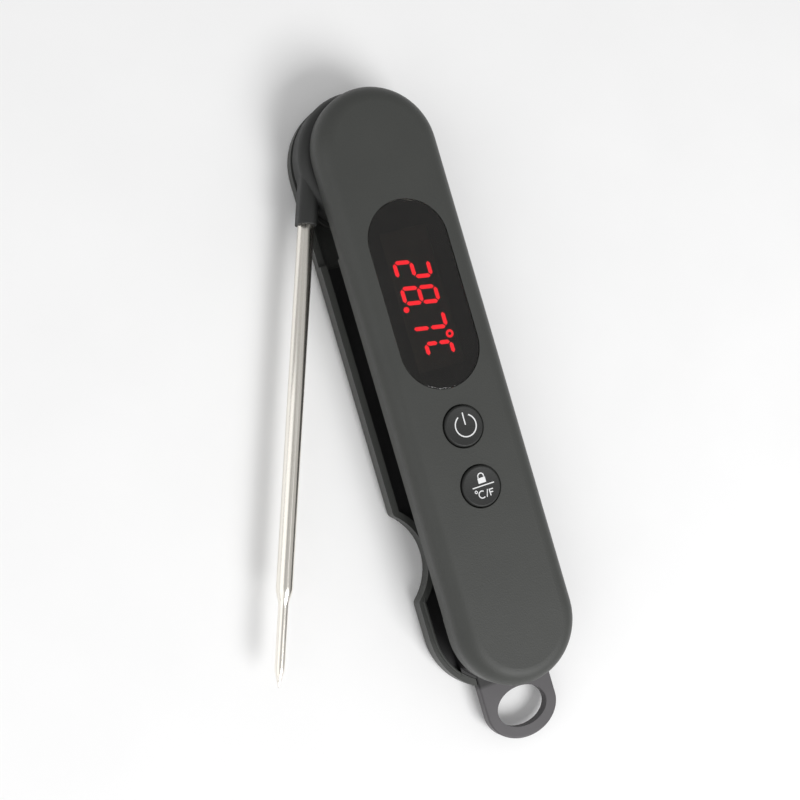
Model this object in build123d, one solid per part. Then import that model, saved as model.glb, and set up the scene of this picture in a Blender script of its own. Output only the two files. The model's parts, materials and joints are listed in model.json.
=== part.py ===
from build123d import *
from math import radians, tan
import os

# Folding meat thermometer, lying on its back with the display facing up.
# +Y points to the hinge end, +Z out of the display, and X runs across the body.
# The origin is on the flat back face, midway between the centres of the front shell's round ends.
# All lengths are in millimetres.

# ---- driving dimensions ----
end_span = 118.0              # distance between the centres of the front shell's round ends
hinge_x = -1.3                # the probe turns about the centre of the back shell's upper end
hinge_y = 58.5
tail_y = -end_span / 2
front_width = 31.6
back_width = 34.2             # flush with the front shell on the closed side
thickness = 19.1              # flat back to flat front face
rim_z = 4.8                   # top of the back shell's rim, the floor side of the probe slot
frame_top_z = 10.45           # top of the middle frame's wall
seam_z = 10.5                 # lower edge of the front shell on the closed side
slot_top_z = 11.05            # lower edge of the front shell along the probe slot
hub_floor_z = 3.6             # back shell's face under the hub
hub_ceiling_z = 12.4          # front shell's face over the hub
front_fillet = 4.4
back_fillet = 0.85
wall = 1.6
rim_wall = 1.7
lip_width = 0.75              # raised lip inside the rim, from the thumb notch to the tail
lip_height = 0.45

# ---- probe slot, beside the middle frame ----
slot_wall_x = -11.6
tip_wall_x = -12.9            # the slot is shallower beside the thin tip
tip_zone_y = -53.9
collar_zone_y = 36.3          # above this the slot is taller, for the hub's collar
slot_side_x = -10.4           # closed side of the slot's cut in both shells
chamber_end_y = 39.5          # hinge end of the chamber in the front shell
slot_floor_z = 3.0

# ---- thumb notch ----
notch_radius = 14.0
notch_x = -27.0
notch_y = -38.1

# ---- hanging loop, a tab of the middle frame ----
loop_y = -82.3
loop_hole_length = 13.7
loop_hole_height = 10.0
loop_ring = 2.85
loop_z = (2.4, 5.2)

# ---- display ----
window_y = 22.6
window_width = 20.6
window_length = 46.7
lens_z = (17.6, 19.05)
digit_pitch = 6.38
digit_half_height = 4.25
digit_half_width = 1.83
digit_slant = 8.4
bar_width = 0.98
case_top_z = 17.25
case_size = (12.4, 34.4)
case_centre = (-0.4, window_y - 0.9)

# ---- buttons ----
power_y = -10.4
hold_y = -25.35
button_radius = 5.0
button_gap = 0.25
button_top_z = 19.75
dish_radius = 40.0            # hollow in a key's top
dish_depth = 0.28

# ---- battery, an AAA cell ----
cell_x = 2.5
cell_radius = 5.25
cell_length = 43.7
cell_end_y = -52.0            # the cell's flat end
cell_z = 6.95

# ---- circuit board and sensor lead ----
board_z = (12.4, 13.4)
lead_x = 8.6
lead_z = 14.6
lead_channel_z = (13.0, 15.6)
lead_channel_half = 1.6

# ---- probe ----
open_angle = 20.5             # angle from folded in the rest pose
probe_offset = 13.36          # tube axis to hinge axis
probe_z = 8.0
hub_radius = 17.0
hub_hollow_radius = 14.2
hub_z = (3.9, 12.1)
bore_radius = 4.6
sleeve_radius = 4.5
collar_size = (4.8, 6.0)      # across and upright
collar_end = 17.9             # distances along the probe from the hinge axis
tube_radius = 2.0
tube_bore = 1.55
tip_radius = 1.2
tip_bore = 0.75
tube_start = 4.1
taper_start = 104.9
taper_end = 108.3
point_start = 123.3
point_end = 127.4
bead_start = 117.7
hub_screw_places = [(10.5, 0.0), (0.0, 10.5)]


def stadium(width, z_low, z_high):
    """A long body with round ends about the two end centres."""
    outline = Plane.XY.offset(z_low) * SlotCenterToCenter(end_span, width, rotation=90)
    return extrude(outline, z_high - z_low)


def lower_stadium(width, z_low, z_high):
    """The back shell's long outline, about the hinge axis and the lower end's centre."""
    ends = [disc(width / 2, z_low, z_high, hinge_x, y) for y in (tail_y, hinge_y)]
    middle = block((hinge_x - width / 2, hinge_x + width / 2), (tail_y, hinge_y), (z_low, z_high))
    return ends[0] + middle + ends[1]


def block(x_range, y_range, z_range):
    """A box from its lowest and highest corner."""
    size = (x_range[1] - x_range[0], y_range[1] - y_range[0], z_range[1] - z_range[0])
    return Pos(x_range[0], y_range[0], z_range[0]) * Box(*size, align=(Align.MIN,) * 3)


def disc(radius, z_low, z_high, x=0.0, y=0.0):
    """An upright cylinder."""
    body = Cylinder(radius, z_high - z_low, align=(Align.CENTER, Align.CENTER, Align.MIN))
    return Pos(x, y, z_low) * body


def ring(outer, inner, z_low, z_high, x=0.0, y=0.0):
    """A flat washer or tube."""
    return disc(outer, z_low, z_high, x, y) - disc(inner, z_low - 1, z_high + 1, x, y)


def slot_block(length, width, z_low, z_high, x, y, angle=0):
    """A block with round ends, as long as its overall length."""
    outline = Plane.XY.offset(z_low) * (Pos(x, y) * SlotOverall(length, width, rotation=angle))
    return extrude(outline, z_high - z_low)


def rounded_block(size_x, size_y, radius, z_low, z_high, x, y):
    """A block with rounded upright corners."""
    outline = Plane.XY.offset(z_low) * (Pos(x, y) * RectangleRounded(size_x, size_y, radius))
    return extrude(outline, z_high - z_low)


def swung(part):
    """Turns a probe piece from the folded position to the rest pose."""
    return Pos(hinge_x, hinge_y, 0) * Rot(0, 0, -open_angle) * part


# ---- fastener and boss places ----
screw_places = [(11.9, 32.0), (-8.1, 34.0), (11.8, -61.0), (-7.9, -64.0)]
magnet_places = [(2.5, 27.0), (2.5, 13.5)]
magnet_radius = 4.5
magnet_z = (0.8, 2.8)
screw_head_radius = 1.9
screw_shank_radius = 1.0
screw_head_z = (0.6, 2.0)
screw_end_z = 14.5
back_boss_radius = 3.0
frame_boss_radius = 2.8
front_boss_radius = 2.4
thread_hole_radius = 0.85
door_screw_y = -4.6
door_y = (-57.0, -2.2)
door_width = 14.6
door_thickness = 1.35


def door_outline(shrink, z_low, z_high):
    """The battery door's outline, drawn in by a margin."""
    size_y = door_y[1] - door_y[0] - 2 * shrink
    centre_y = (door_y[0] + door_y[1]) / 2
    return rounded_block(door_width - 2 * shrink, size_y, 3.0 - shrink, z_low, z_high, cell_x, centre_y)


def make_front_shell():
    shell = stadium(front_width, seam_z, thickness)
    shell = fillet(shell.faces().sort_by(Axis.Z)[-1].edges(), front_fillet)
    shell = fillet(shell.faces().sort_by(Axis.Z)[0].edges(), 0.35)
    roof_z = 17.3
    inner = stadium(front_width - 2 * wall, seam_z - 1, roof_z)
    inner = fillet(inner.faces().sort_by(Axis.Z)[-1].edges(), 2.5)
    inner = inner & block((-20, 20), (-80, chamber_end_y), (0, 20))
    over_slot = block((-20, slot_side_x), (-80, 80), (0, 12.8))
    shell -= inner - over_slot
    for x, y in screw_places:
        shell += disc(front_boss_radius, seam_z + 0.6, roof_z + 0.2, x, y)
        shell -= disc(thread_hole_radius, 0, screw_end_z + 0.6, x, y)
    pad = slot_block(window_length + 2, window_width + 2, 16.5, roof_z + 0.3, 0, window_y, 90)
    shell += pad & block((-20, 20), (-80, chamber_end_y + 0.3), (0, 20))
    shell -= slot_block(window_length + 0.2, window_width + 0.2, lens_z[0] - 0.15, 20, 0, window_y, 90)
    aperture = slot_block(window_length - 2.6, window_width - 2.6, 14, 18, 0, window_y, 90)
    shell -= aperture & block((-20, 20), (-80, chamber_end_y + 1.5), (0, 20))
    for y in (power_y, hold_y):
        shell -= disc(button_radius + button_gap, 15, 20, 0, y)
        shell -= Pos(0, y, thickness) * Cone(button_radius + 0.1, button_radius + 0.65, 0.8)
    shell -= block((-20, slot_side_x), (tip_zone_y, 80), (0, slot_top_z))
    shell -= block((-20, slot_side_x), (collar_zone_y, 80), (0, hub_ceiling_z))
    shell -= disc(hub_radius + 0.5, 0, hub_ceiling_z, hinge_x, hinge_y)
    shell -= block((-20, 20), (hinge_y, 80), (0, hub_ceiling_z))
    shell -= disc(sleeve_radius + 0.02, 0, hub_ceiling_z + 1.6, hinge_x, hinge_y)
    channel_x = (hinge_x - lead_channel_half, hinge_x + lead_channel_half)
    shell -= disc(lead_channel_half, 0, lead_channel_z[1], hinge_x, hinge_y)
    shell -= block(channel_x, (41, hinge_y), lead_channel_z)
    shell -= block((channel_x[0], lead_x + 1.5), (39, 44), lead_channel_z)
    return shell


def make_back_shell():
    shell = lower_stadium(back_width, 0, rim_z) - disc(notch_radius, -1, 20, notch_x, notch_y)
    upright = shell.edges().filter_by(Axis.Z)
    shell = fillet(upright.filter_by(lambda e: -52 < e.center().Y < -24), 1.6)
    shell = fillet(shell.faces().sort_by(Axis.Z)[0].edges(), back_fillet)
    tray = lower_stadium(back_width - 2 * rim_wall, wall, 20)
    tray -= disc(notch_radius + wall, -1, 20, notch_x, notch_y)
    tray -= disc(hub_radius + 0.5, -1, hub_floor_z, hinge_x, hinge_y)
    shell -= tray
    shell -= disc(hub_radius + 0.5, hub_floor_z, 20, hinge_x, hinge_y)
    shell -= block((-20, slot_side_x), (collar_zone_y, 80), (hub_floor_z, 20))
    shell -= block((-20, 20), (hinge_y, 80), (hub_floor_z, 20))
    shell += disc(sleeve_radius - 1.02, hub_floor_z - 0.4, hub_floor_z + 1.0, hinge_x, hinge_y)
    groove_z = (hub_floor_z - 1.4, hub_floor_z + 2)
    shell -= ring(sleeve_radius + 0.02, sleeve_radius - 1.02, *groove_z, hinge_x, hinge_y)
    for x, y in screw_places:
        shell += disc(back_boss_radius, 0.4, rim_z - 0.1, x, y)
        shell -= disc(screw_head_radius + 0.15, -1, screw_head_z[1], x, y)
        shell -= disc(screw_shank_radius + 0.15, -1, rim_z, x, y)
    for x, y in magnet_places:
        shell += disc(magnet_radius + 1.2, 0.4, magnet_z[1], x, y)
        shell -= disc(magnet_radius + 0.05, magnet_z[0], 5, x, y)
    shell += door_outline(-1.4, 0.5, 1.9)
    shell -= door_outline(-0.15, -1, door_thickness + 0.15)
    shell -= door_outline(1.2, -1, 5)
    shell += disc(2.4, 1.5, 3.4, cell_x, door_screw_y)
    shell -= disc(thread_hole_radius, 0, 3.0, cell_x, door_screw_y)
    tab_half_width = loop_hole_length / 2 + loop_ring + 0.1
    shell -= block((-tab_half_width, tab_half_width), (-80, -70), (loop_z[0] - 0.1, 20))
    lip_outer = lower_stadium(back_width - 2 * (rim_wall - lip_width), rim_z - 1, rim_z + lip_height)
    lip = lip_outer - lower_stadium(back_width - 2 * rim_wall, 0, 20)
    lip -= disc(notch_radius + 0.8, 0, 20, notch_x, notch_y)
    lip = lip & block((-20, tip_wall_x - 0.1), (-80, notch_y), (0, 20))
    shell += fillet(lip.faces().sort_by(Axis.Z)[-1].edges(), 0.3)
    return shell


def oval_block(half_length, half_height, z_low, z_high):
    """An upright oval block about the hanging hole's centre."""
    outline = Plane.XY.offset(z_low) * (Pos(0, loop_y) * Ellipse(half_length, half_height))
    return extrude(outline, z_high - z_low)


def make_mid_frame():
    frame = lower_stadium(back_width - 2 * rim_wall - 0.2, wall + 0.1, rim_z + 0.2)
    frame += stadium(front_width - 0.4, rim_z + 0.03, frame_top_z)
    frame -= disc(hub_radius + 0.6, 0, 20, hinge_x, hinge_y)
    frame -= block((-20, 20), (hinge_y, 80), (0, 20))
    frame -= block((-20, slot_wall_x), (tip_zone_y, 80), (slot_floor_z, 20))
    frame -= block((-20, tip_wall_x), (-80, tip_zone_y), (slot_floor_z, 20))
    frame -= block((-20, slot_wall_x), (collar_zone_y - 1, 80), (0, 20))
    frame -= disc(notch_radius + wall + 0.1, 0, rim_z, notch_x, notch_y)
    cavity = stadium(28.2, 0, 20) & block((slot_wall_x + 1.2, 20), (-66, 39), (0, 20))
    frame -= cavity
    for x, y in screw_places:
        frame -= disc(back_boss_radius + 0.1, 0, rim_z, x, y)
        frame += disc(frame_boss_radius, rim_z + 0.03, frame_top_z, x, y)
        frame -= disc(screw_shank_radius + 0.1, 0, 20, x, y)
    frame += block((-11, 14.5), (-6.4, -5.2), (wall + 2, frame_top_z))
    tab_half_width = loop_hole_length / 2 + loop_ring
    tab = oval_block(tab_half_width, loop_hole_height / 2 + loop_ring, *loop_z)
    tab += block((-tab_half_width, tab_half_width), (loop_y, -68), loop_z)
    tab = fillet(tab.edges().filter_by(Plane.XY).group_by(Axis.Z)[-1], 0.45)
    frame += tab & block((-20, 20), (-100, -70), (0, 20))
    return frame - oval_block(loop_hole_length / 2, loop_hole_height / 2, 0, 9)


def make_display_lens():
    lens = slot_block(window_length, window_width, *lens_z, 0, window_y, 90)
    return fillet(lens.faces().sort_by(Axis.Z)[-1].edges(), 0.25)


def make_lens_gasket():
    """A black adhesive sheet under the lens, open over the light bars' case."""
    low = lens_z[0] - 0.13
    high = lens_z[0] - 0.02
    sheet = slot_block(window_length, window_width, low, high, 0, window_y, 90)
    case_x, case_y = case_centre
    return sheet - rounded_block(case_size[0], case_size[1], 0.5, low - 1, high + 1, case_x, case_y)


# The display's digits read from the hinge end to the loop end, with their tops towards +X.
# In each digit's own plane, u runs the way the text reads and v runs to the digit's top.
text_x = -0.55
first_digit_y = window_y + 6.44 + digit_pitch
unit_digit_y = window_y - 13.6
unit_scale = 0.755
unit_x = 0.45
bar_z = (16.3, 17.27)


def light_bar(x, y, length, upright):
    """One hexagonal light bar of a digit; an upright bar runs along the digit's height."""
    half = bar_width / 2
    reach = length / 2
    corners = [(-reach, 0), (half - reach, half), (reach - half, half)]
    corners += [(reach, 0), (reach - half, -half), (half - reach, -half)]
    slant = tan(radians(digit_slant))
    if upright:
        placed = [(x + u, y - slant * u + v) for u, v in corners]
    else:
        placed = [(x + v, y - slant * v + u) for u, v in corners]
    face = Plane.XY.offset(bar_z[0]) * make_face(Polyline(*placed, close=True))
    return extrude(face, bar_z[1] - bar_z[0])


def digit_bars(names, x, y, scale=1.0):
    """The named bars of one seven-bar digit, a to g, as separate solids."""
    half_height = digit_half_height * scale
    half_width = digit_half_width * (0.8 if scale < 1 else 1.0)
    slant = tan(radians(digit_slant))
    across = 2 * half_width - 0.35
    along = half_height - 0.45
    places = {
        "a": (half_height, 0, False), "g": (0, 0, False), "d": (-half_height, 0, False),
        "f": (half_height / 2, half_width, True), "b": (half_height / 2, -half_width, True),
        "e": (-half_height / 2, half_width, True), "c": (-half_height / 2, -half_width, True),
    }
    bars = []
    for name in names:
        up, sideways, upright = places[name]
        length = along if upright else across
        bars.append(light_bar(x + up, y + sideways - slant * up, length, upright))
    return bars


def make_lit_bars():
    bars = digit_bars("abged", text_x, first_digit_y - digit_pitch)
    bars += digit_bars("abcdefg", text_x, first_digit_y - 2 * digit_pitch)
    bars += digit_bars("abc", text_x, first_digit_y - 3 * digit_pitch)
    bars += digit_bars("afed", unit_x, unit_digit_y, unit_scale)
    bars.append(disc(0.72, *bar_z, -5.08, window_y - 2.57))
    bars.append(ring(1.0, 0.42, *bar_z, 3.99, window_y - 10.75))
    return Compound(children=bars)


def make_unlit_bars():
    bars = digit_bars("abcdefg", text_x, first_digit_y)
    bars += digit_bars("cf", text_x, first_digit_y - digit_pitch)
    bars += digit_bars("defg", text_x, first_digit_y - 3 * digit_pitch)
    bars += digit_bars("g", unit_x, unit_digit_y, unit_scale)
    bars.append(disc(0.72, *bar_z, -5.08, window_y - 2.57 + digit_pitch))
    return Compound(children=bars)


def make_led_case(lit, unlit):
    case = rounded_block(*case_size, 0.5, board_z[1] + 0.02, case_top_z, *case_centre)
    for insert in lit.solids() + unlit.solids() + make_led_pins().solids():
        case -= insert
    return case


def make_led_pins():
    pins = []
    for side in (-1, 1):
        for index in range(6):
            y = window_y - 12.7 + 5.0 * index
            pins.append(disc(0.25, board_z[0] - 0.6, board_z[1] + 0.8, -0.4 + side * 4.2, y))
    return Compound(children=pins)


def make_circuit_board():
    board = rounded_block(23.0, 98.0, 1.5, *board_z, 1.6, -10.5)
    for x, y in screw_places:
        board -= disc(front_boss_radius + 0.4, 0, 20, x, y)
    for pin in make_led_pins().solids():
        board -= pin
    return board


def make_control_chip():
    chip = rounded_block(7.0, 7.0, 0.3, board_z[1] + 0.02, board_z[1] + 1.2, 1.6, -41.0)
    return chamfer(chip.faces().sort_by(Axis.Z)[-1].edges(), 0.15)


def make_tact_switches():
    switches = []
    for y in (power_y, hold_y):
        body = rounded_block(4.5, 4.5, 0.4, board_z[1] + 0.02, board_z[1] + 1.1, 0, y)
        switches.append(body + disc(1.2, board_z[1] + 1.0, board_z[1] + 1.4, 0, y))
    return Compound(children=switches)


def make_switch_membrane():
    low = board_z[1] + 1.45
    sheet = rounded_block(14.0, 28.0, 3.0, low, low + 0.3, 0, (power_y + hold_y) / 2)
    for y in (power_y, hold_y):
        sheet += disc(2.0, low, low + 0.6, 0, y)
    return sheet


def make_button(y):
    """A round key cap: a hollowed top, and a flange that holds it under the shell's roof."""
    cap = disc(button_radius, 16.5, button_top_z, 0, y)
    cap = fillet(cap.faces().sort_by(Axis.Z)[-1].edges(), 0.55)
    dish = Pos(0, y, button_top_z + dish_radius - dish_depth) * Sphere(dish_radius)
    cap -= dish
    flange = disc(button_radius + 0.9, 16.0, 16.85, 0, y)
    return cap + flange


def make_battery_cell():
    upright = disc(cell_radius, 0, cell_length)
    upright = fillet(upright.edges(), 0.5)
    upright += disc(1.9, cell_length - 0.2, cell_length + 0.8)
    return Pos(cell_x, cell_end_y + 0.05, cell_z) * Rot(-90, 0, 0) * upright


def make_battery_spring():
    """A coil that presses on the cell's flat end."""
    wire = Helix(pitch=1.05, height=3.6, radius=3.0)
    profile = Plane(origin=wire @ 0, z_dir=wire % 0) * Circle(0.28)
    coil = sweep(profile, path=wire, is_frenet=True)
    return Pos(cell_x, cell_end_y - 4.15, cell_z) * Rot(-90, 0, 0) * coil


def make_battery_contact():
    plate = block((cell_x - 4.5, cell_x + 4.5), (-6.9, -6.5), (3.7, 11.4))
    dimple = Pos(cell_x, -7.05, cell_z) * Rot(90, 0, 0) * Cylinder(1.6, 0.5)
    return plate + dimple


def make_spring_plate():
    plate = block((cell_x - 4.5, cell_x + 4.5), (-57.0, -56.6), (3.2, 11.4))
    return fillet(plate.edges().filter_by(Axis.Y), 1.0)


def make_battery_door():
    door = door_outline(0.0, 0, door_thickness)
    door -= disc(screw_head_radius + 0.1, -1, 0.85, cell_x, door_screw_y)
    door -= disc(screw_shank_radius + 0.1, -1, 3, cell_x, door_screw_y)
    for index in range(5):
        groove_y = -9.0 - 1.6 * index
        door -= slot_block(7.0, 0.7, -1, 0.3, cell_x, groove_y)
    return door


def make_door_gasket():
    return door_outline(0.2, door_thickness + 0.01, door_thickness + 0.14) - door_outline(1.1, 0, 5)


def screw(x, y, head_radius, head_z, shank_radius, end_z):
    """A cross-head screw, head down on the back face."""
    body = disc(head_radius, *head_z, x, y)
    body = chamfer(body.faces().sort_by(Axis.Z)[0].edges(), 0.2)
    body += disc(shank_radius, head_z[1] - 0.1, end_z, x, y)
    for size in ((1.9, 0.45), (0.45, 1.9)):
        cut = (x - size[0] / 2, x + size[0] / 2), (y - size[1] / 2, y + size[1] / 2)
        body -= block(*cut, (head_z[0] - 1, head_z[0] + 0.7))
    return body


def make_shell_screws():
    screws = [screw(x, y, screw_head_radius, screw_head_z, 0.84, screw_end_z) for x, y in screw_places]
    return Compound(children=screws)


def make_door_screw():
    return screw(cell_x, door_screw_y, 1.85, (0.1, 0.83), 0.84, 2.9)


def make_back_magnets():
    magnets = [disc(magnet_radius, *magnet_z, x, y) for x, y in magnet_places]
    return Compound(children=magnets)


def make_pivot_sleeve():
    sleeve = ring(sleeve_radius, 3.5, hub_floor_z - 1.38, hub_ceiling_z + 1.58, hinge_x, hinge_y)
    window = block((hinge_x - 8, hinge_x + 8), (hinge_y - 1.2, hinge_y + 8), (probe_z - 1.3, probe_z + 1.3))
    return sleeve - window


def make_friction_washer():
    return ring(7.6, sleeve_radius + 0.05, hub_floor_z + 0.02, hub_floor_z + 0.5, hinge_x, hinge_y)


def make_pivot_seal():
    return Pos(hinge_x, hinge_y, hub_ceiling_z - 0.62) * Torus(sleeve_radius + 0.72, 0.6)


def make_probe_connector():
    body = rounded_block(5.0, 3.4, 0.3, board_z[1] + 0.02, board_z[1] + 2.6, lead_x, 22.0)
    return body - block((lead_x - 1.2, lead_x + 1.2), (22.4, 24), (lead_z - 0.6, lead_z + 0.6))


def wire_along(points, radius, bend):
    """A round wire along straight runs joined by arcs."""
    path = FilletPolyline(*points, radius=bend)
    profile = Plane(origin=path @ 0, z_dir=path % 0) * Circle(radius)
    return sweep(profile, path=path)


def make_sensor_lead():
    points = [(hinge_x, hinge_y, probe_z + 2.0), (hinge_x, hinge_y, lead_z), (hinge_x, 42.4, lead_z)]
    points += [(lead_x, 42.4, lead_z), (lead_x, 22.5, lead_z)]
    return wire_along(points, 0.5, 1.4)


def make_probe_hub():
    """The turning hub with its collar, hollow from below."""
    disc_part = disc(hub_radius, *hub_z)
    disc_part = fillet(disc_part.faces().sort_by(Axis.Z)[-1].edges(), 2.6)
    disc_part = fillet(disc_part.faces().sort_by(Axis.Z)[0].edges(), 1.4)
    start = Plane(origin=(-probe_offset, 0, probe_z), x_dir=(1, 0, 0), z_dir=(0, -1, 0))
    collar = extrude(start * RectangleRounded(*collar_size, 1.8), collar_end)
    collar = fillet(collar.faces().sort_by(Axis.Y)[0].edges(), 0.3)
    hub = disc_part + collar
    hub -= ring(hub_hollow_radius, 6.6, hub_z[0] - 1, 10.6)
    hub -= disc(bore_radius, 0, 20)
    hub -= disc(8.0, hub_z[0] - 1, hub_z[0] + 0.35)
    hub -= disc(6.4, hub_z[1] - 1.3, 20)
    hub -= Pos(-probe_offset, -10, probe_z) * Rot(90, 0, 0) * Cylinder(tube_radius, 20)
    for x, y in hub_screw_places:
        hub += disc(1.9, 4.9, 11, x, y)
        hub -= disc(0.75, 0, 9, x, y)
    hub -= block((-8.5, 0), (-1.1, 1.1), (probe_z - 1.0, probe_z + 1.0))
    return hub


def make_hub_cover():
    cover = ring(hub_hollow_radius - 0.1, 8.1, hub_z[0], hub_z[0] + 0.95)
    for x, y in hub_screw_places:
        cover -= disc(1.0, 0, 9, x, y)
        cover -= disc(1.7, 0, hub_z[0] + 0.5, x, y)
    return cover


def make_hub_screws():
    head_z = (hub_z[0] + 0.02, hub_z[0] + 0.48)
    screws = [screw(x, y, 1.6, head_z, 0.74, 8.6) for x, y in hub_screw_places]
    return Compound(children=screws)


def along_probe(profile_points):
    """A round piece about the probe's axis, from (distance, radius) points."""
    placed = [(r, -t) for t, r in profile_points]
    half = make_face(Polyline(*placed, close=True))
    return Pos(-probe_offset, 0, probe_z) * revolve(half, Axis.Y)


def make_probe_tube():
    outer = [(tube_start, tube_bore), (tube_start, tube_radius)]
    outer += [(taper_start, tube_radius), (taper_end, tip_radius)]
    inner = [(taper_end, tip_bore), (taper_start - 0.6, tube_bore)]
    return along_probe(outer + inner)


def make_probe_tip():
    outer = [(taper_end, tip_bore), (taper_end, tip_radius), (point_start, tip_radius), (point_end, 0.12)]
    inner = [(point_end, 0.0), (point_start - 1.5, 0.0), (point_start - 2.2, tip_bore)]
    return along_probe(outer + inner)


def make_thermistor():
    bead = [(0.0, 0.0), (0.3, 0.55), (0.8, 0.65), (2.3, 0.65), (2.8, 0.4), (2.9, 0.0)]
    return along_probe([(bead_start + t, r) for t, r in bead])


def make_probe_wire():
    """Sensor lead inside the probe, from the bead to the hinge axis."""
    run = [(-probe_offset, 0.1 - bead_start, probe_z), (-probe_offset, 0, probe_z), (0, 0, probe_z)]
    return wire_along(run, 0.45, 4.0)


def build_all():
    lit = make_lit_bars()
    unlit = make_unlit_bars()
    return {
        "front_shell": make_front_shell(),
        "back_shell": make_back_shell(),
        "mid_frame": make_mid_frame(),
        "display_lens": make_display_lens(),
        "lens_gasket": make_lens_gasket(),
        "led_case": make_led_case(lit, unlit),
        "led_bars_lit": lit,
        "led_bars_unlit": unlit,
        "led_pins": make_led_pins(),
        "circuit_board": make_circuit_board(),
        "control_chip": make_control_chip(),
        "tact_switches": make_tact_switches(),
        "switch_membrane": make_switch_membrane(),
        "power_button": make_button(power_y),
        "hold_button": make_button(hold_y),
        "probe_connector": make_probe_connector(),
        "sensor_lead": make_sensor_lead(),
        "battery_cell": make_battery_cell(),
        "battery_spring": make_battery_spring(),
        "spring_plate": make_spring_plate(),
        "battery_contact": make_battery_contact(),
        "battery_door": make_battery_door(),
        "door_gasket": make_door_gasket(),
        "door_screw": make_door_screw(),
        "shell_screws": make_shell_screws(),
        "back_magnets": make_back_magnets(),
        "pivot_sleeve": make_pivot_sleeve(),
        "friction_washer": make_friction_washer(),
        "pivot_seal": make_pivot_seal(),
        "probe_hub": swung(make_probe_hub()),
        "hub_cover": swung(make_hub_cover()),
        "hub_screws": swung(make_hub_screws()),
        "probe_tube": swung(make_probe_tube()),
        "probe_tip": swung(make_probe_tip()),
        "thermistor": swung(make_thermistor()),
        "probe_wire": swung(make_probe_wire()),
    }


os.makedirs("parts", exist_ok=True)
for node_name, shape in build_all().items():
    export_step(shape, f"parts/{node_name}.step")
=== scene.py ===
import json
from math import cos, pi, radians, sin

import bpy
import bmesh
from mathutils import Matrix, Vector


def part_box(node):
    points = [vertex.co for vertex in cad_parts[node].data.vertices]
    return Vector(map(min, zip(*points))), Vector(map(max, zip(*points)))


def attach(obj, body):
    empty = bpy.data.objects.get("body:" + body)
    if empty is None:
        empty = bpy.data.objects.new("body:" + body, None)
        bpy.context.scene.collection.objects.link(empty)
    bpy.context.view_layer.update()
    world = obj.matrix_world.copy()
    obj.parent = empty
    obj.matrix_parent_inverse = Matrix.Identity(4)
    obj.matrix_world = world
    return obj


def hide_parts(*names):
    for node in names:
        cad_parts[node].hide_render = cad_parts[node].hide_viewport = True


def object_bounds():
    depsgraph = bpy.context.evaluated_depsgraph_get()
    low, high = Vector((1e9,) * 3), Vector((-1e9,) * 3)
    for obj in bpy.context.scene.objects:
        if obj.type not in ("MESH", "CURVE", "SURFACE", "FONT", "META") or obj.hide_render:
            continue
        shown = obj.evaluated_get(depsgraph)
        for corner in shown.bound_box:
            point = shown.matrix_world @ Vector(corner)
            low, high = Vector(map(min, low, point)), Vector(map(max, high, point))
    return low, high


# The looks of a folding meat thermometer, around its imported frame. Lengths are in metres.
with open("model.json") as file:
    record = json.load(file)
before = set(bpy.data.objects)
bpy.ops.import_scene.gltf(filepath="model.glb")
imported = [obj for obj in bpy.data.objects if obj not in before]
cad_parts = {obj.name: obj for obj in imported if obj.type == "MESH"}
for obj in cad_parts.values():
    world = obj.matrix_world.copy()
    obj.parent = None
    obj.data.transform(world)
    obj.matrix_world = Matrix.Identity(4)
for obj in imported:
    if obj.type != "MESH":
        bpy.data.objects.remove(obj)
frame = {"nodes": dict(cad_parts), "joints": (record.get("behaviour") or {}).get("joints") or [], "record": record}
cad_low, cad_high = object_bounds()
MM = 0.001

# ---- the probe's line, from the hinge joint ----
hinge_joint = next(j for j in frame["joints"] if j["type"] == "hinge")
hinge = Vector(hinge_joint["pos_m"])
open_turn = radians(hinge_joint["range_deg"][0])     # turn from the folded position to rest
probe_offset = 13.36 * MM                            # tube axis to hinge axis
probe_axis = Matrix.Translation(hinge) @ Matrix.Rotation(open_turn, 4, "Z")
probe_axis = probe_axis @ Matrix.Translation((-probe_offset, 0, 0))

loop_start = -74.0 * MM                              # where the hanging loop leaves the casings

# ---- camera and studio ----
camera_place = Vector((-0.12186, 0.00506, 0.30669))
camera_look = Vector((0.35222, -0.01665, -0.93577))
camera_up = Vector((0.26923, 0.95938, 0.08427))
camera_lens = 58.76                                  # millimetres, as Blender takes them
sensor = 36.0
clip_near, clip_far = 0.01, 20.0


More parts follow.
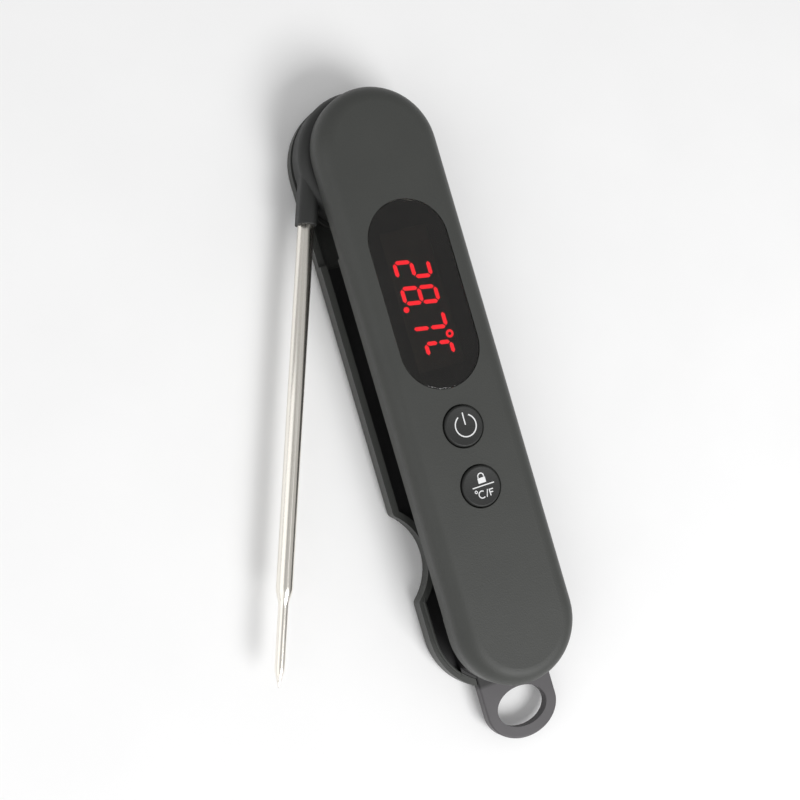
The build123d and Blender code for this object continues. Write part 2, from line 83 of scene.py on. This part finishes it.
# ---------------------------------------------------------------- material tools
class Paint:
    """One procedural material: its node tree, its shader and the nodes that feed it."""

    def __init__(self, name):
        self.material = bpy.data.materials.new(name)
        self.material.use_nodes = True
        self.tree = self.material.node_tree
        self.tree.nodes.clear()
        self.output = self.add("OutputMaterial")
        self.shader = self.add("BsdfPrincipled")
        self.link(self.shader.outputs["BSDF"], self.output.inputs["Surface"])

    def add(self, kind, **settings):
        node = self.tree.nodes.new("ShaderNode" + kind)
        for key, value in settings.items():
            setattr(node, key, value)
        return node

    def link(self, source, target):
        self.tree.links.new(source, target)

    def set(self, **values):
        """Sets the shader's own sockets; an underscore in a name stands for a space."""
        for key, value in values.items():
            self.shader.inputs[key.replace("_", " ")].default_value = value

    def places(self, stretch=(1, 1, 1), turn=0.0):
        """Object coordinates in metres, turned about Z and stretched."""
        coords = self.add("TexCoord")
        mapping = self.add("Mapping")
        mapping.inputs["Scale"].default_value = stretch
        turned = self.add("VectorRotate", rotation_type="Z_AXIS")
        turned.inputs["Angle"].default_value = turn
        self.link(coords.outputs["Object"], turned.inputs["Vector"])
        self.link(turned.outputs["Vector"], mapping.inputs["Vector"])
        return mapping.outputs["Vector"]

    def noise(self, places, scale, detail=3.0, rough=0.5):
        node = self.add("TexNoise")
        node.inputs["Scale"].default_value = scale
        node.inputs["Detail"].default_value = detail
        node.inputs["Roughness"].default_value = rough
        self.link(places, node.inputs["Vector"])
        return node.outputs["Fac"]

    def cells(self, places, scale):
        node = self.add("TexVoronoi")
        node.inputs["Scale"].default_value = scale
        self.link(places, node.inputs["Vector"])
        return node.outputs["Distance"]

    def spread(self, value, low, high, new_low=0.0, new_high=1.0):
        """Maps a range onto another, clamped."""
        node = self.add("MapRange")
        limits = {"From Min": low, "From Max": high, "To Min": new_low, "To Max": new_high}
        for key, number in limits.items():
            node.inputs[key].default_value = number
        self.link(value, node.inputs["Value"])
        return node.outputs["Result"]

    def blend(self, factor, first, second):
        """Mixes two colours, each a tuple or a socket."""
        node = self.add("MixRGB")
        self.link(factor, node.inputs["Fac"])
        for key, colour in (("Color1", first), ("Color2", second)):
            if isinstance(colour, tuple):
                node.inputs[key].default_value = (*colour, 1.0)
            else:
                self.link(colour, node.inputs[key])
        return node.outputs["Color"]

    def sum(self, first, second, operation="ADD"):
        node = self.add("Math", operation=operation)
        self.link(first, node.inputs[0])
        if isinstance(second, float):
            node.inputs[1].default_value = second
        else:
            self.link(second, node.inputs[1])
        return node.outputs["Value"]

    def bump(self, height, distance, strength=1.0, normal=None):
        node = self.add("Bump")
        node.inputs["Strength"].default_value = strength
        node.inputs["Distance"].default_value = distance
        self.link(height, node.inputs["Height"])
        if normal is not None:
            self.link(normal, node.inputs["Normal"])
        return node.outputs["Normal"]

    def feed(self, name, socket):
        self.link(socket, self.shader.inputs[name])


def grained_plastic(name, dark, light, grain, rough, sheen=0.0):
    """Moulded plastic: a fine spark-eroded grain, a faint cloudy tone and slightly uneven gloss."""
    paint = Paint(name)
    here = paint.places()
    cloud = paint.spread(paint.noise(here, 60.0, 4.0, 0.6), 0.1, 0.9)
    fine = paint.noise(here, 1 / grain, 2.0, 0.6)
    colour = paint.blend(cloud, dark, light)
    speckle = paint.spread(fine, 0.3, 0.7, 0.0, 0.12)
    lighter = tuple(1.5 * c for c in light)
    paint.feed("Base Color", paint.blend(speckle, colour, lighter))
    rubbed = paint.spread(paint.noise(here, 260.0, 3.0), 0.4, 0.6)
    paint.feed("Roughness", paint.spread(rubbed, 0.0, 1.0, rough - 0.012, rough + 0.012))
    pits = paint.cells(here, 0.8 / grain)
    paint.feed("Normal", paint.bump(paint.sum(fine, pits), 0.04 * MM, 0.6))
    paint.set(IOR=1.46, Sheen_Weight=sheen, Sheen_Roughness=0.4)
    return paint.material


def soft_touch():
    dark, light = (0.038, 0.040, 0.037), (0.048, 0.050, 0.046)
    return grained_plastic("soft_touch_coat", dark, light, 0.26 * MM, 0.52, 0.10)


def frame_plastic():
    """Frame moulding with painted shade: a near-black colour along the body stands in for the deep shadow within
    the slot, turning to the lighter satin frame colour at the hanging loop.
    """
    paint = Paint("frame_satin_painted_slot_shade")
    here = paint.places()
    across = paint.add("SeparateXYZ")
    paint.link(here, across.inputs["Vector"])
    # Mask from the painted slot shade along the body (0) to the frame's own satin colour at the hanging loop (1).
    loop = paint.spread(across.outputs["Y"], loop_start, loop_start - 1.0 * MM)
    cloud = paint.spread(paint.noise(here, 60.0, 4.0, 0.6), 0.35, 0.65)
    # Painted shade: a near-black colour in place of the shadow that falls deep in the slot.
    painted_slot_shade = paint.blend(cloud, (0.010, 0.010, 0.010), (0.016, 0.015, 0.016))
    outside = paint.blend(cloud, (0.076, 0.072, 0.076), (0.090, 0.085, 0.090))
    paint.feed("Base Color", paint.blend(loop, painted_slot_shade, outside))
    fine = paint.noise(here, 1 / (0.3 * MM), 2.0, 0.6)
    paint.feed("Roughness", paint.spread(fine, 0.3, 0.7, 0.40, 0.48))
    paint.feed("Normal", paint.bump(fine, 0.02 * MM, 0.3))
    paint.set(IOR=1.46)
    return paint.material


def key_plastic():
    return grained_plastic("key_satin", (0.017, 0.018, 0.017), (0.023, 0.024, 0.023), 0.2 * MM, 0.50)


def led_body():
    return grained_plastic("led_case_face", (0.060, 0.048, 0.040), (0.074, 0.060, 0.050), 0.3 * MM, 0.45)


def washer_plastic():
    return grained_plastic("washer_acetal", (0.62, 0.62, 0.58), (0.74, 0.74, 0.70), 0.3 * MM, 0.40)


def rubber():
    dark, light = (0.010, 0.010, 0.010), (0.016, 0.016, 0.016)
    return grained_plastic("silicone_rubber", dark, light, 0.25 * MM, 0.70, 0.2)


def gloss_black():
    return grained_plastic("moulded_epoxy", (0.010, 0.010, 0.011), (0.018, 0.018, 0.018), 0.12 * MM, 0.30)


def lead_sheath():
    return grained_plastic("fluoropolymer", (0.62, 0.58, 0.52), (0.72, 0.69, 0.63), 0.5 * MM, 0.28)


def cell_can():
    return grained_plastic("cell_wrap", (0.20, 0.21, 0.23), (0.27, 0.28, 0.30), 0.5 * MM, 0.25)


def smoked_lens():
    """Dark clear plastic with a polished face and a few hairline scuffs."""
    paint = Paint("smoked_polycarbonate")
    here = paint.places((1.0, 0.06, 1.0), radians(20))
    scuffs = paint.spread(paint.noise(here, 2500.0, 2.0), 0.62, 0.75)
    paint.feed("Roughness", paint.spread(scuffs, 0.0, 1.0, 0.08, 0.18))
    smudge = paint.spread(paint.noise(paint.places(), 120.0, 3.0), 0.3, 0.7)
    paint.feed("Base Color", paint.blend(smudge, (0.27, 0.25, 0.22), (0.30, 0.28, 0.25)))
    paint.set(Transmission_Weight=1.0, IOR=1.49, Specular_IOR_Level=0.3)
    return paint.material


def led_red():
    """Lit light bars, slightly uneven along their length."""
    paint = Paint("led_red_lit")
    soft = paint.spread(paint.noise(paint.places(), 900.0, 2.0), 0.3, 0.7)
    paint.feed("Base Color", paint.blend(soft, (0.60, 0.02, 0.03), (0.70, 0.03, 0.04)))
    paint.feed("Emission Color", paint.blend(soft, (1.0, 0.008, 0.022), (1.0, 0.016, 0.032)))
    paint.set(Roughness=0.35, Emission_Strength=3.6)
    return paint.material


def led_unlit():
    """Milky epoxy of the light bars that are off."""
    paint = Paint("led_milky")
    soft = paint.spread(paint.noise(paint.places(), 900.0, 2.0), 0.3, 0.7)
    paint.feed("Base Color", paint.blend(soft, (0.05, 0.036, 0.03), (0.07, 0.05, 0.04)))
    paint.set(Roughness=0.4)
    return paint.material


def metal(name, dark, light, rough, stretch, turn=0.0, scratch=3000.0, depth=0.01 * MM):
    """Worked metal: fine lines along one direction, in tone, gloss and height."""
    paint = Paint(name)
    lines = paint.noise(paint.places(stretch, turn), scratch, 4.0, 0.7)
    wide = paint.noise(paint.places(stretch, turn), scratch * 0.25, 2.0)
    tone = paint.spread(paint.sum(lines, wide), 0.8, 1.2)
    paint.feed("Base Color", paint.blend(tone, dark, light))
    paint.feed("Roughness", paint.spread(tone, 0.0, 1.0, rough - 0.06, rough + 0.06))
    paint.feed("Normal", paint.bump(lines, depth, 0.5))
    paint.set(Metallic=1.0)
    return paint.material


def steel():
    """Stainless steel drawn lengthways: fine shallow lines along the probe."""
    along = (1.0, 0.008, 1.0)
    dark, light = (0.90, 0.86, 0.79), (0.98, 0.95, 0.88)
    return metal("polished_steel", dark, light, 0.26, along, -open_turn, 6000.0, 0.0015 * MM)


def brass():
    return metal("turned_brass", (0.60, 0.42, 0.18), (0.78, 0.58, 0.28), 0.3, (1.0, 1.0, 0.2))


def nickel():
    return metal("nickel_plate", (0.58, 0.57, 0.54), (0.70, 0.69, 0.66), 0.18, (1.0, 1.0, 1.0))


def laminate():
    """Green solder mask, raised a little over rows of tracks."""
    paint = Paint("solder_mask")
    here = paint.places()
    tracks = paint.add("TexBrick")
    tracks.inputs["Scale"].default_value = 300.0
    tracks.inputs["Mortar Size"].default_value = 0.08
    paint.link(here, tracks.inputs["Vector"])
    paint.feed("Base Color", paint.blend(tracks.outputs["Fac"], (0.01, 0.12, 0.04), (0.02, 0.20, 0.07)))
    paint.feed("Normal", paint.bump(tracks.outputs["Fac"], 0.03 * MM, 0.5))
    paint.set(Roughness=0.3)
    return paint.material


def white_print():
    """Screen-printed white ink."""
    paint = Paint("white_ink")
    here = paint.places()
    thin = paint.spread(paint.noise(here, 5000.0, 3.0), 0.35, 0.65)
    paint.feed("Base Color", paint.blend(thin, (0.78, 0.79, 0.80), (0.88, 0.88, 0.88)))
    paint.feed("Normal", paint.bump(thin, 0.005 * MM, 0.4))
    paint.set(Roughness=0.5)
    return paint.material


finishes = {
    "soft_touch": soft_touch(), "frame_plastic": frame_plastic(), "key_plastic": key_plastic(),
    "smoked_lens": smoked_lens(), "rubber": rubber(), "led_body": led_body(), "led_red": led_red(),
    "led_unlit": led_unlit(), "brass": brass(), "laminate": laminate(), "gloss_black": gloss_black(),
    "lead_sheath": lead_sheath(), "cell_can": cell_can(), "steel": steel(), "nickel": nickel(),
    "washer_plastic": washer_plastic(),
}


def finish_cad_nodes():
    """Gives each CAD node its slot's material, on every one of its material slots."""
    for row in frame["record"]["subparts"]:
        node = frame["nodes"][row["node"]]
        node.data.materials.clear()
        node.data.materials.append(finishes[row["material_slot"]])


# ---------------------------------------------------------------- pieces made here
def make_object(name, mesh, material, body):
    piece = bpy.data.objects.new(name, mesh)
    bpy.context.scene.collection.objects.link(piece)
    mesh.materials.append(material)
    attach(piece, body)
    return piece


def turned_mesh(name, profile, places, sides=96):
    """A closed round solid about the local -Y line, from (distance, radius) points with zero-radius ends."""
    shape = bmesh.new()
    rings = []
    for along, radius in profile:
        if radius == 0:
            rings.append([shape.verts.new((0, -along, 0))])
            continue
        angles = [2 * pi * index / sides for index in range(sides)]
        rings.append([shape.verts.new((radius * cos(a), -along, radius * sin(a))) for a in angles])
    for near, far in zip(rings, rings[1:]):
        for index in range(sides):
            after = (index + 1) % sides
            if len(near) == 1:
                shape.faces.new((near[0], far[index], far[after]))
            elif len(far) == 1:
                shape.faces.new((near[index], far[0], near[after]))
            else:
                shape.faces.new((near[index], far[index], far[after], near[after]))
    bmesh.ops.recalc_face_normals(shape, faces=shape.faces)
    for face in shape.faces:
        face.smooth = True
    mesh = bpy.data.meshes.new(name)
    shape.to_mesh(mesh)
    shape.free()
    mesh.transform(places)
    return mesh


def probe_shaft():
    """The stainless probe: a tube swaged down to a thin tip with a ground point."""
    start, middle, end = 4.1, 60.0, 127.4
    tube, tip = 2.0, 1.2
    swage_start, swage_end, swage_steps = 104.4, 108.5, 10
    grind_start = 123.1
    profile = [(start, 0.0), (start, tube - 0.1), (start + 0.1, tube)]
    profile += [(middle, tube), (swage_start - 0.5, tube)]
    for index in range(swage_steps + 1):
        share = index / swage_steps
        eased = share * share * (3 - 2 * share)
        profile.append((swage_start + share * (swage_end - swage_start), tube + (tip - tube) * eased))
    profile += [(swage_end + 0.6, tip), (grind_start - 0.6, tip)]
    profile += [(grind_start, tip - 0.02), (grind_start + 0.6, tip - 0.12)]
    profile += [(end - 0.4, 0.22), (end - 0.15, 0.13), (end, 0.0)]
    mesh = turned_mesh("probe_shaft", [(a * MM, r * MM) for a, r in profile], probe_axis)
    shaft = make_object("probe_shaft", mesh, finishes["steel"], "probe")
    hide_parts("probe_tube", "probe_tip")


def dish_height(top, x, y):
    """Height of a key's hollowed top at a point given from the key's centre."""
    dish_radius, dish_depth = 40.0 * MM, 0.28 * MM
    return top - dish_depth + (x * x + y * y) / (2 * dish_radius)


def printed_sheet(name, node, body, outlines):
    """Thin printed shapes on a key's hollow top, from closed outlines in millimetres about its centre."""
    low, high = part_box(node)
    centre = (low + high) / 2
    ink, print_shift = 0.035 * MM, 0.5
    shape = bmesh.new()
    for strip in outlines:
        for first, second in zip(strip, strip[1:]):
            ends = (first[0], first[1], second[1], second[0])
            corners = [Vector((x + print_shift, y)) * MM for x, y in ends]
            levels = []
            for lift in (-ink, ink):
                ring = []
                for corner in corners:
                    height = dish_height(high.z, corner.x, corner.y) + lift
                    ring.append(shape.verts.new((centre.x + corner.x, centre.y + corner.y, height)))
                levels.append(ring)
            below, above = levels
            shape.faces.new(above)
            shape.faces.new(below[::-1])
            for index in range(4):
                after = (index + 1) % 4
                shape.faces.new((below[index], below[after], above[after], above[index]))
    bmesh.ops.recalc_face_normals(shape, faces=shape.faces)
    mesh = bpy.data.meshes.new(name)
    shape.to_mesh(mesh)
    shape.free()
    return make_object(name, mesh, white_ink, body)


def arc_strip(radius, width, start, end, centre=(0, 0), steps=40):
    """An arc-shaped strip, as pairs of inner and outer points; angles in degrees from +X."""
    pairs = []
    for index in range(steps + 1):
        a = radians(start + (end - start) * index / steps)
        inner = (centre[0] + (radius - width / 2) * cos(a), centre[1] + (radius - width / 2) * sin(a))
        outer = (centre[0] + (radius + width / 2) * cos(a), centre[1] + (radius + width / 2) * sin(a))
        pairs.append((inner, outer))
    return pairs


def bar_strip(start, end, width, steps=8):
    """A straight strip between two points."""
    start, end = Vector(start), Vector(end)
    side = (end - start).normalized().orthogonal() * width / 2
    line = [start.lerp(end, index / steps) for index in range(steps + 1)]
    return [(tuple(p - side), tuple(p + side)) for p in line]


def power_symbol():
    gap, radius, width = 30, 2.7, 0.30
    strips = [arc_strip(radius, width, 90 + gap, 450 - gap), bar_strip((0, 0.2), (0, 3.2), width)]
    printed_sheet("power_symbol", "power_button", "power_key", strips)


def hold_symbol():
    """A padlock for the held reading over a bar, and the two generic unit marks."""
    line = 0.26
    strips = [bar_strip((-2.9, 0.0), (2.9, 0.0), 0.26)]
    strips += [bar_strip((-1.0, 1.3), (1.0, 1.3), 1.3)]
    strips += [arc_strip(0.75, line, 0, 180, (0, 2.3))]
    strips += [bar_strip((side * 0.75, 2.0), (side * 0.75, 2.35), line) for side in (-1, 1)]
    strips += [arc_strip(0.3, 0.2, 0, 360, (-2.25, -1.05)), bar_strip((0.15, -2.9), (0.75, -1.1), 0.22)]
    strips += [arc_strip(0.85, line, 50, 310, (-0.9, -2.0))]
    strips += [bar_strip((1.2, -2.85), (1.2, -1.2), line), bar_strip((1.2, -1.35), (2.2, -1.35), line)]
    strips += [bar_strip((1.2, -2.05), (2.0, -2.05), line)]
    printed_sheet("hold_symbol", "hold_button", "hold_key", strips)


# ---------------------------------------------------------------- studio
def plain_floor():
    """A sheet of white paper, far larger than the view."""
    size = 3.0
    mesh = bpy.data.meshes.new("studio_floor")
    shape = bmesh.new()
    bmesh.ops.create_grid(shape, x_segments=8, y_segments=8, size=size)
    shape.to_mesh(mesh)
    shape.free()
    floor = bpy.data.objects.new("studio_floor", mesh)
    bpy.context.scene.collection.objects.link(floor)
    floor.location.z = cad_low.z - 0.1 * MM      # just clear of the flat back
    paint = Paint("floor_paper")
    tone = paint.spread(paint.noise(paint.places(), 30.0, 3.0), 0.3, 0.7)
    paint.feed("Base Color", paint.blend(tone, (0.93, 0.93, 0.93), (0.95, 0.95, 0.95)))
    paint.set(Roughness=0.9)
    mesh.materials.append(paint.material)


def area_light(name, place, aim, size, power, colour=(1, 1, 1)):
    light = bpy.data.lights.new(name, "AREA")
    light.shape = "RECTANGLE"
    light.size, light.size_y = size
    light.energy = power
    light.color = colour
    holder = bpy.data.objects.new(name, light)
    holder.location = place
    holder.rotation_euler = (Vector(aim) - Vector(place)).to_track_quat("-Z", "Y").to_euler()
    bpy.context.scene.collection.objects.link(holder)


def studio_light():
    """A dim even room, a large softbox beyond the tail and a broad dim panel on the left."""
    room_strength, softbox_power, panel_power = 0.46, 6.4, 1.9
    world = bpy.data.worlds.new("studio")
    bpy.context.scene.world = world
    world.use_nodes = True
    background = world.node_tree.nodes["Background"]
    background.inputs["Color"].default_value = (1.0, 1.0, 1.0, 1.0)
    background.inputs["Strength"].default_value = room_strength
    area_light("top_softbox", (0.20, -0.62, 0.74), (0, 0, 0), (0.50, 0.45), softbox_power)
    area_light("left_softbox", (-0.75, 0.0, 0.50), (0, 0, 0), (0.90, 0.90), panel_power)


def place_camera():
    data = bpy.data.cameras.new("view")
    data.lens = camera_lens
    data.sensor_width = sensor
    data.clip_start, data.clip_end = clip_near, clip_far
    camera = bpy.data.objects.new("view", data)
    back = -camera_look.normalized()
    right = camera_up.cross(back).normalized()
    up = back.cross(right)
    camera.matrix_world = Matrix.Translation(camera_place) @ Matrix((right, up, back)).transposed().to_4x4()
    bpy.context.scene.collection.objects.link(camera)
    bpy.context.scene.camera = camera


place_camera()
finish_cad_nodes()
white_ink = white_print()
probe_shaft()
power_symbol()
hold_symbol()
plain_floor()
studio_light()
bpy.context.scene.view_settings.view_transform = "Standard"
